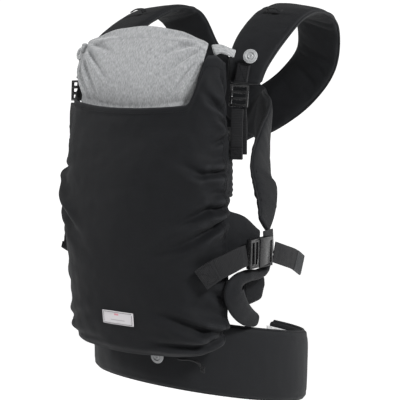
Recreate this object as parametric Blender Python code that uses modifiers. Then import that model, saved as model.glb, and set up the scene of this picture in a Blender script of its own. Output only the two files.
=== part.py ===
"""Soft baby carrier, worn position: +X is the wearer's left, -Y the front, +Z up.

The origin is the centre of the waist ring. All lengths are metres.
"""
import math

import bmesh
import bpy
from mathutils import Matrix, Vector

# ---------------------------------------------------------------- driving sizes
GAP = 0.0004                       # clearance between touching pieces

BELT_HALF_X = 0.161                # waist ring, half size across
BELT_HALF_Y = 0.139                # waist ring, half size front to back
BELT_HEIGHT = 0.100
BELT_THICK = 0.014
BELT_RISE = 0.20                   # the ring rides up at the front by this much a metre
BELT_LEAN = 0.045                  # and hangs lower on the wearer's left by this much a metre
BELT_END = math.radians(163.0)     # the pad stops here, measured from the front
LINING_THICK = 0.0016

PANEL_THICK = 0.004
PANEL_EDGE_X = 0.134
PANEL_EDGE_Y = -0.130
PANEL_LOW = 0.030
PANEL_TOP = 0.372
PANEL_CORNER = 0.063               # rise of the top corners above the scooped top edge
NEAR_RAMP = (0.53, 0.76)           # the wearer's left top corner rises between these shares of the half width
FAR_RAMP = (0.80, 0.96)            # and the right one between these
FAR_TUCK = 0.011                   # the wearer's right top corner is drawn in by this much
NEAR_TUCK = 0.004                  # and the left one by this much, clear of its ladder lock
FAR_RIM_BACK = 0.022               # the wearer's right leg rim is drawn back by this much

STRAP_WIDTH = 0.074
STRAP_THICK = 0.013
NARROW_WEBBING = 0.018
SIDE_WEBBING = 0.030
WAIST_WEBBING = 0.038
WEBBING_THICK = 0.0018
BUTTON_RADIUS = 0.0100
BUTTON_PLACE = (math.radians(8.0), BELT_THICK / 2 + 0.0014, -0.009)   # on the waist ring: angle, out, up
FOLD_LIFT = WEBBING_THICK + 0.0006    # a folded end lies this far above its own webbing

BLACK = (0.020, 0.021, 0.024)
BLACK_PLASTIC = (0.012, 0.012, 0.013)
LIGHT_GREY = (0.36, 0.36, 0.37)
PALE = (0.72, 0.72, 0.72)


# ---------------------------------------------------------------- scene helpers
def smoothstep(low, high, value):
    t = min(max((value - low) / (high - low), 0.0), 1.0)
    return t * t * (3 - 2 * t)


def clear_scene():
    for old in list(bpy.data.objects):
        bpy.data.objects.remove(old, do_unlink=True)


def make_collection(name):
    group = bpy.data.collections.new(name)
    bpy.context.scene.collection.children.link(group)
    return group


def plain_material(name, colour, roughness, metallic=0.0):
    material = bpy.data.materials.new(name)
    material.use_nodes = True
    shader = material.node_tree.nodes["Principled BSDF"]
    shader.inputs["Base Color"].default_value = (*colour, 1.0)
    shader.inputs["Roughness"].default_value = roughness
    shader.inputs["Metallic"].default_value = metallic
    return material


FINISHES = {
    "twill": (BLACK, 0.85),
    "webbing": (BLACK, 0.75),
    "plastic": (BLACK_PLASTIC, 0.30),
    "jersey": (LIGHT_GREY, 0.95),
    "button": (LIGHT_GREY, 0.50),
    "pale": (PALE, 0.90),
}


def place(mesh_or_bm, name, finish, matrix=Matrix.Identity(4)):
    """Make a named object of a mesh, with its own material, in the carrier's collection."""
    if isinstance(mesh_or_bm, bmesh.types.BMesh):
        bmesh.ops.recalc_face_normals(mesh_or_bm, faces=mesh_or_bm.faces)
        mesh = bpy.data.meshes.new(name)
        mesh_or_bm.to_mesh(mesh)
        mesh_or_bm.free()
    else:
        mesh = mesh_or_bm
    thing = bpy.data.objects.new(name, mesh)
    colour, roughness = FINISHES[finish]
    mesh.materials.append(plain_material(name, colour, roughness))
    thing.matrix_world = matrix
    CARRIER.objects.link(thing)
    return thing


def smooth(thing, angle=50.0):
    thing.data.shade_smooth()
    thing.data.set_sharp_from_angle(angle=math.radians(angle))
    return thing


def add_bevel(thing, width, segments=1):
    bevel = thing.modifiers.new("edges", "BEVEL")
    bevel.width = width
    bevel.segments = segments
    bevel.limit_method = "ANGLE"
    return thing


def cut(thing, centre, size):
    """Boolean a box out of a thing, in the thing's own coordinates."""
    cutter = cube_object(thing.name + "_cut", centre, size, thing.matrix_world, CUTTERS)
    cutter.hide_render = True
    cutter.display_type = "WIRE"
    hole = thing.modifiers.new("hole", "BOOLEAN")
    hole.operation = "DIFFERENCE"
    hole.object = cutter
    return thing


def cube_mesh(centre, size):
    bm = bmesh.new()
    bmesh.ops.create_cube(bm, size=1.0)
    bmesh.ops.scale(bm, vec=Vector(size), verts=bm.verts)
    bmesh.ops.translate(bm, vec=Vector(centre), verts=bm.verts)
    return bm


def cube_object(name, centre, size, matrix, group):
    mesh = bpy.data.meshes.new(name)
    bm = cube_mesh(centre, size)
    bm.to_mesh(mesh)
    bm.free()
    thing = bpy.data.objects.new(name, mesh)
    thing.matrix_world = matrix
    group.objects.link(thing)
    return thing


def block(name, finish, centre, size, matrix, bevel=0.0):
    thing = place(cube_mesh(centre, size), name, finish, matrix)
    if bevel:
        add_bevel(thing, bevel)
    return thing


def mirrored(vector, side):
    return Vector((vector[0] * side, vector[1], vector[2]))


def frame_at(position, along, normal):
    """Matrix with local X along a direction and local Z near a normal."""
    x_axis = Vector(along).normalized()
    z_axis = Vector(normal)
    z_axis = (z_axis - x_axis * z_axis.dot(x_axis)).normalized()
    y_axis = z_axis.cross(x_axis)
    matrix = Matrix((x_axis, y_axis, z_axis)).transposed().to_4x4()
    matrix.translation = Vector(position)
    return matrix


# ---------------------------------------------------------------- lofted bands
def catmull(values, t):
    """Smooth value at parameter t (0 to 1) through a list of vectors."""
    last = len(values) - 1
    place_on = min(max(t, 0.0), 1.0) * last
    index = min(int(place_on), last - 1)
    f = place_on - index
    p1 = values[index]
    p2 = values[index + 1]
    p0 = values[index - 1] if index > 0 else p1 * 2 - p2
    p3 = values[index + 2] if index + 2 <= last else p2 * 2 - p1
    return 0.5 * (2 * p1 + (p2 - p0) * f + (2 * p0 - 5 * p1 + 4 * p2 - p3) * f * f
                  + (3 * p1 - p0 - 3 * p2 + p3) * f * f * f)


def section_points(count, squareness):
    """Unit outline of a band: half width 1 by half thickness 1, with rounded ends."""
    points = []
    for step in range(count):
        angle = 2 * math.pi * (step + 0.5) / count
        wide = math.copysign(abs(math.cos(angle)) ** squareness, math.cos(angle))
        thick = math.copysign(abs(math.sin(angle)) ** squareness, math.sin(angle))
        points.append((wide, thick))
    return points


def band(name, finish, stations, steps, section, side=1, lift=0.0, first=0.0):
    """Closed loft through stations of (centre, outward normal, width, thickness).

    side -1 builds the mirror image, lift moves the band out along its normal, and
    first starts it part of the way along the stations.
    """
    rows = []
    centres = [Vector(station[0]) for station in stations]
    normals = [Vector(station[1]).normalized() for station in stations]
    sizes = [Vector((station[2], station[3], 0.0)) for station in stations]
    for step in range(steps + 1):
        t = first + (1.0 - first) * step / steps
        centre = catmull(centres, t)
        ahead = catmull(centres, min(t + 0.01, 1.0)) - catmull(centres, max(t - 0.01, 0.0))
        tangent = ahead.normalized()
        normal = catmull(normals, t)
        normal = (normal - tangent * normal.dot(tangent)).normalized()
        across = tangent.cross(normal)
        size = catmull(sizes, t)
        centre = centre + normal * lift
        rows.append([mirrored(centre + across * (wide * size.x / 2) + normal * (thick * size.y / 2), side)
                     for wide, thick in section])
    return place(loft(rows), name, finish)


def loft(rows):
    bm = bmesh.new()
    rings = [[bm.verts.new(point) for point in row] for row in rows]
    count = len(rows[0])
    for first, second in zip(rings, rings[1:]):
        for index in range(count):
            after = (index + 1) % count
            bm.faces.new((first[index], first[after], second[after], second[index]))
    bm.faces.new(rings[0])
    bm.faces.new(rings[-1])
    return bm


PADDED = section_points(12, 0.55)
ROUND = section_points(10, 0.9)
FLAT = [(-1, -1), (1, -1), (1, 1), (-1, 1)]


def webbing(name, stations, steps, width, side=1, lift=0.0, thick=WEBBING_THICK, first=0.0):
    """Flat strap through stations of (centre, outward normal)."""
    full = [(centre, normal, width, thick) for centre, normal in stations]
    return band(name, "webbing", full, steps, FLAT, side, lift, first)


# ---------------------------------------------------------------- waist belt
def ring_point(angle, out, up):
    """Point on the waist ring; angle 0 is the front, positive towards +X."""
    x = (BELT_HALF_X + out) * math.sin(angle)
    y = -(BELT_HALF_Y + out) * math.cos(angle)
    return Vector((x, y, up - BELT_RISE * y - BELT_LEAN * x))


def ring_normal(angle):
    return Vector((math.sin(angle) / BELT_HALF_X, -math.cos(angle) / BELT_HALF_Y, 0.0)).normalized()


def ring_band(name, finish, start, end, out, height, thick, section, steps):
    """Upright band that follows the waist ring, with its long side vertical."""
    rows = []
    for step in range(steps + 1):
        angle = start + (end - start) * step / steps
        normal = ring_normal(angle)
        centre = ring_point(angle, out, 0.0)
        rows.append([centre + normal * (thin * thick / 2) + Vector((0, 0, tall * height / 2))
                     for tall, thin in section])
    return place(loft(rows), name, finish)


def waist_belt():
    smooth(ring_band("waist_belt_pad", "twill", -BELT_END, BELT_END, 0.0, BELT_HEIGHT, BELT_THICK, PADDED, 44))
    lining_out = -(BELT_THICK / 2 + LINING_THICK / 2 + GAP)
    ring_band("waist_belt_lining", "pale", -BELT_END, BELT_END, lining_out,
              BELT_HEIGHT * 0.84, LINING_THICK, FLAT, 36)


def round_button(name, centre, normal):
    """Turned button: a domed disc with a raised rim, on a short shank."""
    profile = [(0.0, 0.0042), (0.0045, 0.0040), (0.0062, 0.0030), (0.0078, 0.0036), (BUTTON_RADIUS, 0.0022),
               (BUTTON_RADIUS, 0.0010), (0.0030, 0.0008), (0.0030, -0.0010), (0.0, -0.0010)]
    mesh = bpy.data.meshes.new(name)
    bm = bmesh.new()
    verts = [bm.verts.new((radius, 0.0, height)) for radius, height in profile]
    for first, second in zip(verts, verts[1:]):
        bm.edges.new((first, second))
    bm.to_mesh(mesh)
    bm.free()
    button = place(mesh, name, "button", frame_at(centre, Vector((0, 0, 1)).cross(Vector(normal)), normal))
    turn = button.modifiers.new("turn", "SCREW")
    turn.axis = "Z"
    turn.steps = 20
    turn.render_steps = 20
    turn.use_merge_vertices = True
    turn.merge_threshold = 0.00005
    turn.use_normal_calculate = True
    return button


# ---------------------------------------------------------------- body panel
def panel_point(across, height, lift=0.0):
    """Panel surface; across runs -1 to 1 edge to edge, height 0 to 1 from pouch to top."""
    wide = abs(across)
    belly = math.sin(math.pi * (0.12 + 0.76 * height)) ** 0.7
    top = PANEL_TOP + 0.020 * min(wide, 0.66) ** 2
    inner, outer = FAR_RAMP if across < 0 else NEAR_RAMP
    top += PANEL_CORNER * smoothstep(inner, outer, wide) - 0.010 * max(wide - 0.84, 0.0) / 0.16
    low = PANEL_LOW + 0.028 * wide ** 4
    z = low + (PANEL_TOP - low) * height + (top - PANEL_TOP) * height ** 5
    edge_x = PANEL_EDGE_X * (0.92 + 0.08 * belly) + lift
    edge_y = PANEL_EDGE_Y - 0.006 * math.sin(math.pi * height)
    reach = 0.062 + 0.024 * belly
    full = math.radians(84.0)
    turn = full * across
    x = edge_x * math.sin(turn) / math.sin(full)
    if across < 0:
        x += FAR_TUCK * smoothstep(0.55, 0.90, wide) * smoothstep(0.80, 0.97, height)
    else:
        x -= NEAR_TUCK * smoothstep(0.80, 1.00, wide) * smoothstep(0.75, 0.90, height)
    y = edge_y - reach * (math.cos(turn) ** 0.85 - math.cos(full) ** 0.85) - lift
    return Vector((x, y, z))


def surface(name, finish, function, columns, rows, thick):
    """Open grid from a function of two parameters, thickened inwards."""
    bm = bmesh.new()
    grid = [[bm.verts.new(function(-1 + 2 * c / columns, r / rows)) for c in range(columns + 1)]
            for r in range(rows + 1)]
    for r in range(rows):
        for c in range(columns):
            bm.faces.new((grid[r][c], grid[r][c + 1], grid[r + 1][c + 1], grid[r + 1][c]))
    mesh = bpy.data.meshes.new(name)
    bm.to_mesh(mesh)
    bm.free()
    thing = place(mesh, name, finish)
    shell = thing.modifiers.new("thickness", "SOLIDIFY")
    shell.thickness = thick
    shell.offset = -1.0
    return smooth(thing)


def label_point(across, height):
    return panel_point(-0.03 + 0.135 * across, 0.122 + 0.054 * height, 0.0016)


def hood_point(across, height):
    """Hood surface; across -1 to 1, height 0 at the hem and 1 at the rim."""
    full = math.sin(math.pi * height)
    x = (0.090 + 0.012 * height + 0.005 * full) * across
    y = -0.1795 + 0.020 * across ** 2 + 0.042 * height - 0.020 * (across * height) ** 2 - 0.014 * full
    z = 0.3740 + 0.012 * across ** 2 + 0.109 * height - 0.036 * height * across ** 2
    return Vector((x, y, z))


def body_panel():
    surface("main_panel", "twill", panel_point, 24, 14, PANEL_THICK)
    surface("woven_label", "pale", label_point, 4, 2, 0.0008)
    surface("hood", "jersey", hood_point, 16, 8, 0.0025)


def panel_edges(side, hand):
    hem = []
    for height in (0.60, 0.66, 0.72, 0.78, 0.84):
        edge = panel_point(1.0, height)
        hem.append((edge + Vector((-0.0050, 0.0115, 0.0)), (1.0, 0.10, 0.0), 0.015, 0.006))
    smooth(band("side_hem_" + hand, "twill", hem, 14, ROUND, side))

    wing = [((0.1328, -0.1330, 0.1945), (0.94, -0.34, 0.0), 0.082, 0.004),
            ((0.1380, -0.1225, 0.1945), (0.95, -0.30, 0.0), 0.070, 0.005),
            ((0.1430, -0.1110, 0.1920), (0.97, -0.25, 0.0), 0.060, 0.006),
            ((0.1460, -0.0960, 0.1880), (0.99, -0.10, 0.0), 0.047, 0.007),
            ((0.1465, -0.0780, 0.1830), (1.00, 0.00, 0.0), 0.036, 0.006)]
    smooth(band("side_wing_" + hand, "twill", wing, 6, PADDED, side))

    belt_top = BELT_HEIGHT / 2 - BELT_RISE * -0.069 - BELT_LEAN * 0.147 * side
    back = FAR_RIM_BACK if side < 0 else 0.0
    rim = [((0.1395, -0.0670, belt_top + 0.0125), (0.85, -0.50, 0.10), 0.018, 0.013),
           ((0.1400, -0.0940, 0.0810), (0.88, -0.46, 0.10), 0.028, 0.015),
           ((0.1440, -0.1220 + back, 0.0990), (0.92, -0.38, 0.00), 0.033, 0.015),
           ((0.1460, -0.1390 + back, 0.1190), (0.94, -0.34, 0.00), 0.034, 0.015),
           ((0.1470, -0.1400 + back, 0.1320), (0.95, -0.30, 0.00), 0.028, 0.014),
           ((0.1480, -0.1270 + back, 0.1400), (0.97, -0.22, 0.00), 0.020, 0.014),
           ((0.1490, -0.1060 + back * 0.7, 0.1420), (0.99, -0.10, 0.00), 0.017, 0.014),
           ((0.1490, -0.0840 + back * 0.3, 0.1400), (1.00, -0.10, 0.00), 0.015, 0.013),
           ((0.1485, -0.0620, 0.1430), (1.00, 0.00, 0.00), 0.014, 0.012),
           ((0.1465, -0.0500, 0.1530), (1.00, 0.00, 0.00), 0.012, 0.010),
           ((0.1455, -0.0450, 0.1670), (1.00, 0.00, 0.00), 0.010, 0.009)]
    smooth(band("leg_rim_" + hand, "twill", rim, 20, ROUND, side))

    pad = [((0.1280, -0.0710, 0.1320), (0.95, -0.30, 0.0), 0.058, 0.009),
           ((0.1270, -0.0710, 0.1140), (0.95, -0.30, 0.0), 0.060, 0.012),
           ((0.1260, -0.0660, 0.0920), (0.95, -0.30, 0.0), 0.046, 0.010)]
    smooth(band("hip_pad_" + hand, "twill", pad, 6, PADDED, side))


# ---------------------------------------------------------------- shoulder straps
def strap_stations(inset):
    """Padded strap from the chest over the shoulder, across the back, to the other side."""
    w = STRAP_WIDTH
    t = STRAP_THICK
    return [((0.1370, -0.0980, 0.4050), (0.30, -0.95, 0.10), w * 0.55, t * 0.8),
            ((0.1330, -0.0800, 0.4350), (0.25, -0.90, 0.35), w * 0.75, t),
            ((0.1270, -0.0340, 0.4690), (0.15, -0.60, 0.78), w * 0.95, t),
            ((0.1210, 0.0290, 0.4990), (0.10, -0.20, 0.97), w, t),
            ((0.1150, 0.0940 - inset * 0.8, 0.5080), (0.10, 0.15, 0.98), w, t),
            ((0.1080, 0.1610 - inset * 2.0, 0.4920), (0.15, 0.70, 0.70), w, t),
            ((0.0880, 0.2000 - inset * 3.0, 0.4350), (0.15, 0.95, 0.25), w, t),
            ((0.0480, 0.2060 - inset * 2.6, 0.3870), (0.10, 0.99, 0.10), w, t),
            ((0.0000, 0.1970 - inset * 1.8, 0.3520), (0.05, 1.00, 0.00), w, t),
            ((-0.0400, 0.1930 - inset * 3.7, 0.3400), (-0.35, 0.94, 0.00), w, t),
            ((-0.0720, 0.1560 - inset * 4.4, 0.3170), (-0.75, 0.66, 0.00), w, t),
            ((-0.0940, 0.0640 - inset * 1.9, 0.3000), (-0.92, 0.38, 0.10), w * 0.98, t),
            ((-0.1110, -0.0020 - inset * 0.2, 0.2770), (-0.97, 0.05, 0.15), w * 0.90, t * 0.9),
            ((-0.1250, -0.0210, 0.2520), (-0.98, -0.08, 0.15), w * 0.76, t * 0.8),
            ((-0.1360, -0.0380, 0.2270), (-0.98, -0.08, 0.10), w * 0.58, t * 0.7),
            ((-0.1455, -0.0600, 0.2050), (-1.00, 0.00, 0.00), w * 0.42, t * 0.5)]


def shoulder_strap(side, hand, inset):
    smooth(band("shoulder_strap_" + hand, "twill", strap_stations(inset), 44, PADDED, side))
    loop = [((0.1080, 0.0100, 0.5045), (0.10, -0.25, 0.97)),
            ((0.1110, 0.0100, 0.5090), (0.10, -0.25, 0.97)),
            ((0.1230, 0.0100, 0.5090), (0.10, -0.25, 0.97)),
            ((0.1320, 0.0100, 0.5050), (0.10, -0.25, 0.97))]
    webbing("strap_loop_" + hand, loop, 6, 0.008, side)
    tab = [((0.1355, -0.0975, 0.4330), (0.25, -0.92, 0.30)),
           ((0.1362, -0.1020, 0.4250), (0.28, -0.94, 0.25)),
           ((0.1375, -0.1075, 0.4150), (0.30, -0.95, 0.20)),
           ((0.1380, -0.1110, 0.4080), (0.30, -0.95, 0.20))]
    webbing("stitched_tab_" + hand, tab, 5, NARROW_WEBBING, side, thick=0.0026)


# ---------------------------------------------------------------- chest adjusters
LOCK_CENTRE = (0.1390, -0.1170, 0.3900)
LOCK_NORMAL = Vector((0.30, -0.95, 0.10)).normalized()
LOCK_HEIGHT = 0.030
LOCK_WIDTH = 0.026
LOCK_THICK = 0.0036
LOCK_SLOT = 0.0046


def chest_adjuster(side, hand):
    down = mirrored((-0.02, -0.10, -1.0), side)
    matrix = frame_at(mirrored(LOCK_CENTRE, side), down, mirrored(LOCK_NORMAL, side))
    lock = block("ladder_lock_" + hand, "plastic", (0, 0, 0), (LOCK_HEIGHT, LOCK_WIDTH, LOCK_THICK), matrix)
    for offset in (-0.0095, -0.0005, 0.0085):
        cut(lock, (offset, 0, 0), (LOCK_SLOT, NARROW_WEBBING + 0.001, 0.02))
    add_bevel(lock, 0.0006)

    front = [((0.1400, -0.1225, 0.3725), (0.30, -0.95, 0.0)),
             ((0.1405, -0.1250, 0.3550), (0.30, -0.95, 0.0)),
             ((0.1405, -0.1250, 0.3300), (0.30, -0.95, 0.0)),
             ((0.1400, -0.1240, 0.3040), (0.30, -0.95, 0.0))]
    webbing("adjuster_webbing_" + hand, front, 8, NARROW_WEBBING * 0.95, side)
    webbing("adjuster_fold_" + hand, front, 2, NARROW_WEBBING * 0.95, side, FOLD_LIFT, first=0.80)
    back = [((0.1400, -0.1150, 0.3725), (0.30, -0.95, 0.0)),
            ((0.1415, -0.1155, 0.3550), (0.30, -0.95, 0.0)),
            ((0.1415, -0.1155, 0.3350), (0.30, -0.95, 0.0)),
            ((0.1415, -0.1155, 0.3100), (0.30, -0.95, 0.0))]
    webbing("panel_webbing_" + hand, back, 8, NARROW_WEBBING * 0.95, side)


def hood_fastening(side, hand):
    tie = [((0.1090, -0.1360, 0.4510), (0.20, -0.90, 0.30), 0.017, 0.008),
           ((0.1160, -0.1290, 0.4530), (0.25, -0.90, 0.30), 0.013, 0.007),
           ((0.1230, -0.1210, 0.4500), (0.30, -0.90, 0.30), 0.011, 0.005),
           ((0.1300, -0.1130, 0.4460), (0.30, -0.90, 0.30), 0.011, 0.003)]
    smooth(band("hood_tie_" + hand, "jersey", tie, 8, ROUND, side))
    centre = mirrored((0.1450, -0.0970, 0.4425), side)
    round_button("hood_button_" + hand, centre, mirrored((0.3, -0.92, 0.25), side))


# ---------------------------------------------------------------- side release buckles
def release_buckle(name, matrix, width):
    """Socket, plug and two prongs; local X points from plug to socket, Y across, Z out."""
    outer = width + 0.011
    socket_long = 0.70 * width + 0.013
    plug_long = 0.45 * width + 0.010
    thick = 0.0095
    hollow_wide = outer - 0.006
    hollow_thick = thick - 0.0036
    wall = 0.003
    hollow_long = socket_long - 0.011

    socket = block(name + "_socket", "plastic", (socket_long / 2 + GAP, 0, 0), (socket_long, outer, thick), matrix)
    cut(socket, (hollow_long / 2 - 0.001, 0, 0), (hollow_long + 0.002, hollow_wide, hollow_thick))
    window_long = hollow_long * 0.45
    cut(socket, (hollow_long * 0.62, 0, 0), (window_long, outer + 0.01, hollow_thick * 0.96))
    cut(socket, (socket_long - 0.0050, 0, 0), (0.0042, width + 0.001, 0.03))

    plug = block(name + "_plug", "plastic", (-plug_long / 2, 0, 0), (plug_long, outer, thick * 0.8), matrix)
    for offset in (0.30, 0.72):
        cut(plug, (-plug_long * offset, 0, 0), (plug_long * 0.22, width + 0.001, 0.03))

    prong_long = hollow_long * 0.82
    prong_y = hollow_wide / 2 - wall
    up = 1 if matrix.col[1].z > 0 else -1
    for label, sign in (("upper", up), ("lower", -up)):
        block(name + "_prong_" + label, "plastic", (prong_long / 2 + 0.0008, sign * prong_y, 0),
              (prong_long, 0.0036, hollow_thick - 0.0008), matrix, 0.0005)
    return socket_long, plug_long


BUCKLE_CENTRE = Vector((0.1600, -0.1010, 0.1740))
RIGHT_BACK = Vector((0.0, 0.0260, 0.0))      # the right buckle is drawn up further back
LONG_END = [((0.1600, -0.1295, 0.1745), (0.97, -0.25, 0.0)),
            ((0.1560, -0.1435, 0.1715), (0.88, -0.48, 0.0)),
            ((0.1470, -0.1570, 0.1650), (0.72, -0.70, 0.0)),
            ((0.1330, -0.1710, 0.1560), (0.62, -0.78, 0.0)),
            ((0.1190, -0.1810, 0.1440), (0.50, -0.86, 0.0))]
SHORT_END = [((0.1605, -0.1085, 0.1745), (1.00, -0.05, 0.0)),
             ((0.1590, -0.1140, 0.1700), (1.00, -0.10, 0.0)),
             ((0.1580, -0.1180, 0.1620), (1.00, -0.20, 0.0)),
             ((0.1570, -0.1225, 0.1520), (1.00, -0.20, 0.0))]


def side_buckle(side, hand, shift, strip):
    centre = BUCKLE_CENTRE + shift
    matrix = frame_at(mirrored(centre, side), (0.0, 1.0, -0.04), (side * 1.0, 0.0, 0.0))
    release_buckle("side_buckle_" + hand, matrix, SIDE_WEBBING)
    webbing("side_webbing_" + hand, strip, 10, SIDE_WEBBING, side)
    webbing("side_webbing_fold_" + hand, strip, 3, SIDE_WEBBING, side, FOLD_LIFT, first=0.70)
    link = [((0.1525, -0.0580, 0.1640), (1.0, 0.05, 0.0)),
            ((0.1525, -0.0580, 0.1800), (1.0, 0.05, 0.0)),
            ((0.1515, -0.0580, 0.2000), (1.0, 0.05, 0.0))]
    webbing("strap_end_webbing_" + hand, link, 5, SIDE_WEBBING, side)
    tail = [(Vector((0.1630, -0.0610, 0.1700)) + shift, (1.0, 0.05, 0.0)),
            (Vector((0.1660, -0.0380, 0.1620)) + shift, (1.0, 0.00, 0.0)),
            (Vector((0.1660, -0.0080, 0.1520)) + shift, (1.0, -0.05, 0.0)),
            (Vector((0.1650, 0.0180, 0.1390)) + shift, (1.0, 0.05, 0.0))]
    webbing("strap_tail_" + hand, tail, 8, SIDE_WEBBING, side)


# ---------------------------------------------------------------- waist closure
def waist_closure():
    back = ring_point(math.pi, 0.0170, 0.0)
    matrix = frame_at(back, (1.0, 0.0, 0.0), (0.0, 1.0, 0.0))
    socket_long, plug_long = release_buckle("waist_buckle", matrix, WAIST_WEBBING)
    out = BELT_THICK / 2 + 0.0022
    left = [(ring_point(math.radians(angle), out, 0.0), ring_normal(math.radians(angle)))
            for angle in (128, 136, 143, 150)]
    left.append((back + Vector((socket_long + 0.0180, -0.0040, 0.0)), (0.20, 1.0, 0.0)))
    left.append((back + Vector((socket_long + 0.0040, -0.0010, 0.0)), (0.05, 1.0, 0.0)))
    webbing("waist_webbing_left", left, 12, WAIST_WEBBING)
    right = [(ring_point(math.radians(angle), out, 0.0), ring_normal(math.radians(angle)))
             for angle in (-128, -136, -143, -150)]
    right.append((back + Vector((-plug_long - 0.0180, -0.0040, 0.0)), (-0.20, 1.0, 0.0)))
    right.append((back + Vector((-plug_long - 0.0040, -0.0010, 0.0)), (-0.05, 1.0, 0.0)))
    webbing("waist_webbing_right", right, 12, WAIST_WEBBING)


# ---------------------------------------------------------------- drawcord
CORD_ROUTE = [(0.0740, -0.1690, 0.0270), (0.0790, -0.1660, 0.0262), (0.0840, -0.1620, 0.0262),
              (0.0890, -0.1570, 0.0245), (0.0940, -0.1515, 0.0210), (0.0968, -0.1487, 0.0165)]
CORD_THICK = 0.0034


def drawcord():
    curve = bpy.data.curves.new("drawcord", "CURVE")
    curve.dimensions = "3D"
    curve.bevel_depth = CORD_THICK / 2
    curve.bevel_resolution = 2
    curve.use_fill_caps = True
    curve.render_resolution_u = 0
    spline = curve.splines.new("POLY")
    route = [Vector(point) for point in CORD_ROUTE]
    count = 8
    spline.points.add(count)
    for index in range(count + 1):
        spline.points[index].co = (*catmull(route, index / count), 1.0)
    cord = bpy.data.objects.new("drawcord", curve)
    curve.materials.append(plain_material("drawcord", BLACK, 0.8))
    CARRIER.objects.link(cord)

    knot = bmesh.new()
    bmesh.ops.create_uvsphere(knot, u_segments=12, v_segments=8, radius=0.0052)
    end = Vector(CORD_ROUTE[-1]) + Vector((0.0025, 0.0020, -0.0050))
    smooth(place(knot, "drawcord_knot", "webbing", Matrix.Translation(end)))


clear_scene()
CARRIER = make_collection("soft_baby_carrier")
CUTTERS = make_collection("cutters")
waist_belt()
body_panel()
round_button("belt_button", ring_point(*BUTTON_PLACE), (0.1, -1.0, 0.0))
waist_closure()
drawcord()
for side, hand, inset, shift, strip in ((1, "left", 0.0, Vector((0, 0, 0)), LONG_END),
                                        (-1, "right", 0.020, RIGHT_BACK, SHORT_END)):
    panel_edges(side, hand)
    shoulder_strap(side, hand, inset)
    chest_adjuster(side, hand)
    hood_fastening(side, hand)
    side_buckle(side, hand, shift, strip)
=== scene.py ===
"""Looks of the soft baby carrier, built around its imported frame.

+X is the wearer's left, -Y the front, +Z up. All lengths are metres. The curves of the frame's
parts come first, then finishes, mesh makers, and one section for each group of pieces.
"""
import math

import bmesh
import bpy
from mathutils import Matrix, Vector, noise


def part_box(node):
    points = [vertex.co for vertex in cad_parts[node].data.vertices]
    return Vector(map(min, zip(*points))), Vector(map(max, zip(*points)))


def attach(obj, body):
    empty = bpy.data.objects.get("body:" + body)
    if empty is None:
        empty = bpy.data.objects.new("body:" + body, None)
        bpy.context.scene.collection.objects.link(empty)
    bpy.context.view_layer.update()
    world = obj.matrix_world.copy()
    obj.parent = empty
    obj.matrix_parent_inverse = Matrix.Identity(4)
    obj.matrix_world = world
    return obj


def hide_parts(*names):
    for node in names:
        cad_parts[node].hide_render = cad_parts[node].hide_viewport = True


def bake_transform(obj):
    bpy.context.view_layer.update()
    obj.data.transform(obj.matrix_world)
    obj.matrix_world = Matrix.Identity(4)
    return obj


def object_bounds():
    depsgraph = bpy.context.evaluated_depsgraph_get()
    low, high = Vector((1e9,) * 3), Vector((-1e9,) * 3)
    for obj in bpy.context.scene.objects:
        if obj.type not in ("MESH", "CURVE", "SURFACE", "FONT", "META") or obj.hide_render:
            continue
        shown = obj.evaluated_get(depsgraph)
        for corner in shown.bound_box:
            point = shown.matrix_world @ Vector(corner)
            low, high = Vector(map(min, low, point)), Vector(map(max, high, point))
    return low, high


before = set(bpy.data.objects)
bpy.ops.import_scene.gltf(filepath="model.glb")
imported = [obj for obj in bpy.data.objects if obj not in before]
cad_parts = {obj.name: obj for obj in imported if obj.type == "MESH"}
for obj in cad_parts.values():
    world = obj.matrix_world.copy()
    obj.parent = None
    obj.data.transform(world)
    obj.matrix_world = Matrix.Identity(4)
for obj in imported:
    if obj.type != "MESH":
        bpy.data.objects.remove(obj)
CAD_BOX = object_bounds()

SIDES = ((1, "left"), (-1, "right"))

# ---------------------------------------------------------------- camera, light and floor
VIEW_AZIMUTH = math.radians(33.0)
VIEW_ELEVATION = math.radians(7.4)
VIEW_DISTANCE = 2.0
VIEW_TARGET = Vector((0.0, 0.0, 0.225))
VIEW_LENS = 120.0
FLOOR_DROP = 0.62                  # the carrier hangs this far above the floor
FLOOR_SIZE = 60.0
NEAR_FLOOR_GLOW = 0.32             # the paper sweep shines by itself, more with distance, and so stays white
FLOOR_GLOW = 0.95
WORLD_LIGHT = 0.20                 # strength of the surroundings as a light
WORLD_SEEN = 1.1                   # and as the camera sees them


def place_camera():
    away = Vector((math.sin(VIEW_AZIMUTH) * math.cos(VIEW_ELEVATION),
                   -math.cos(VIEW_AZIMUTH) * math.cos(VIEW_ELEVATION),
                   math.sin(VIEW_ELEVATION)))
    lens = bpy.data.cameras.new("camera")
    lens.lens = VIEW_LENS
    lens.sensor_width = 36.0
    camera = bpy.data.objects.new("camera", lens)
    camera.location = VIEW_TARGET + away * VIEW_DISTANCE
    camera.rotation_euler = (-away).to_track_quat("-Z", "Y").to_euler()
    bpy.context.scene.collection.objects.link(camera)
    bpy.context.scene.camera = camera


def soft_light(name, position, power, size):
    lamp = bpy.data.lights.new(name, "AREA")
    lamp.energy = power
    lamp.shape = "SQUARE"
    lamp.size = size
    holder = bpy.data.objects.new(name, lamp)
    holder.location = position
    holder.rotation_euler = (VIEW_TARGET - Vector(position)).to_track_quat("-Z", "Y").to_euler()
    bpy.context.scene.collection.objects.link(holder)


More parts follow.
